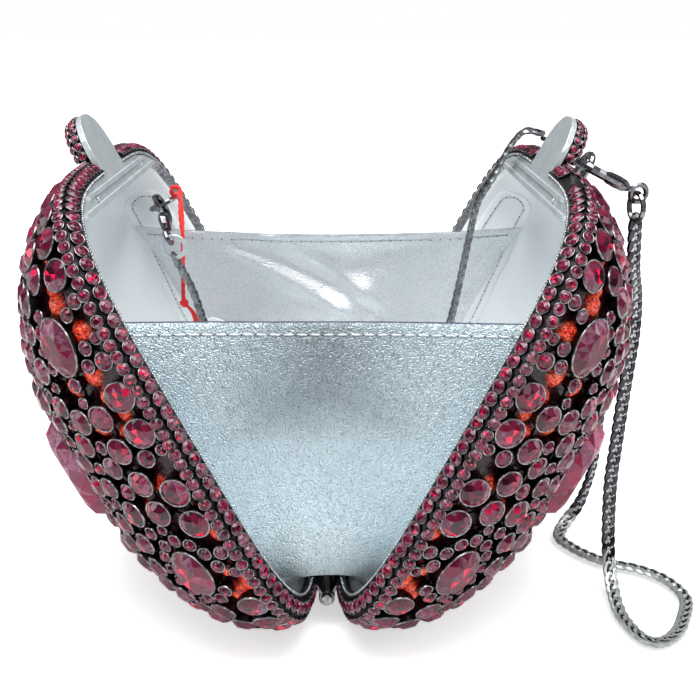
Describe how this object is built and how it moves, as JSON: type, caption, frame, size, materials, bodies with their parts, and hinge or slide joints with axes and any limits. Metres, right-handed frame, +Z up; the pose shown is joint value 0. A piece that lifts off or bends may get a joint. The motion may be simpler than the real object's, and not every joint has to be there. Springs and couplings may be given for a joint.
{
  "type": "clutch",
  "caption": "Hard-shell evening clutch of two domed, stone-set halves on a bottom hinge, held open by leather gussets, with a chain strap on sprung hooks.",
  "frame": {"origin": "on the surface that the open clutch stands on, midway between its two shells and midway along the hinge", "axes": "+Y along the hinge away from the viewer, +X towards the shell with the outer strap hook, +Z up"},
  "size_m": [0.1874, 0.1426, 0.1368],
  "materials": {
    "crystal": "faceted wine-red stones in bright metal cups",
    "gunmetal": "dark polished metal",
    "nickel": "worn bright plate",
    "glitter": "red glitter",
    "leather": "silver, pebbled and slightly glossy",
    "card": "blank white card",
    "thread": "red twisted thread"
  },
  "bodies": {
    "right_shell": {"right_jewel_shell": "crystal", "right_rim_frame": "nickel", "right_stone_band": "crystal", "right_glitter_skin": "glitter", "right_lining": "leather", "right_clasp_plate": "nickel", "right_tab_pave": "crystal", "right_near_rivet": "gunmetal", "right_far_rivet": "gunmetal", "right_hinge_leaf": "gunmetal", "right_strap_loop": "nickel", "right_clasp_body": "gunmetal", "right_clasp_eye": "gunmetal", "right_jump_ring": "gunmetal", "hinge_pin": "gunmetal", "near_gusset": "leather", "far_gusset": "leather", "base_strip": "leather", "chain_inner": "gunmetal", "chain_outer": "gunmetal"},
    "left_shell": {"left_jewel_shell": "crystal", "left_rim_frame": "nickel", "left_stone_band": "crystal", "left_glitter_skin": "glitter", "left_lining": "leather", "left_clasp_plate": "nickel", "left_tab_pave": "crystal", "left_near_rivet": "gunmetal", "left_far_rivet": "gunmetal", "left_hinge_leaf": "gunmetal", "left_strap_loop": "nickel", "left_clasp_body": "gunmetal", "left_clasp_eye": "gunmetal", "left_jump_ring": "gunmetal", "tag_string": "thread", "hang_tag": "card"},
    "right_lever": {"right_clasp_lever": "gunmetal"},
    "left_lever": {"left_clasp_lever": "gunmetal"}
  },
  "joints": [
    {"name": "main_hinge", "type": "hinge", "parent": "right_shell", "child": "left_shell", "pos_m": [0, 0, 0.00735], "axis": [0, 1, 0], "range_deg": [0, 54], "deforming": ["near_gusset", "far_gusset", "base_strip", "chain_inner"]},
    {"name": "right_clasp_lever_spring", "type": "hinge", "parent": "right_shell", "child": "right_lever", "pos_m": [0.06909, -0.03116, 0.12563], "axis": [0.454, 0, 0.891], "range_deg": [0, 22], "stiffness_Nm_per_rad": 0.002, "springref_deg": -5.73},
    {"name": "left_clasp_lever_spring", "type": "hinge", "parent": "left_shell", "child": "left_lever", "pos_m": [-0.05487, 0.04231, 0.10238], "axis": [-0.891, 0, -0.454], "range_deg": [0, 22], "stiffness_Nm_per_rad": 0.002, "springref_deg": -5.73}
  ]
}
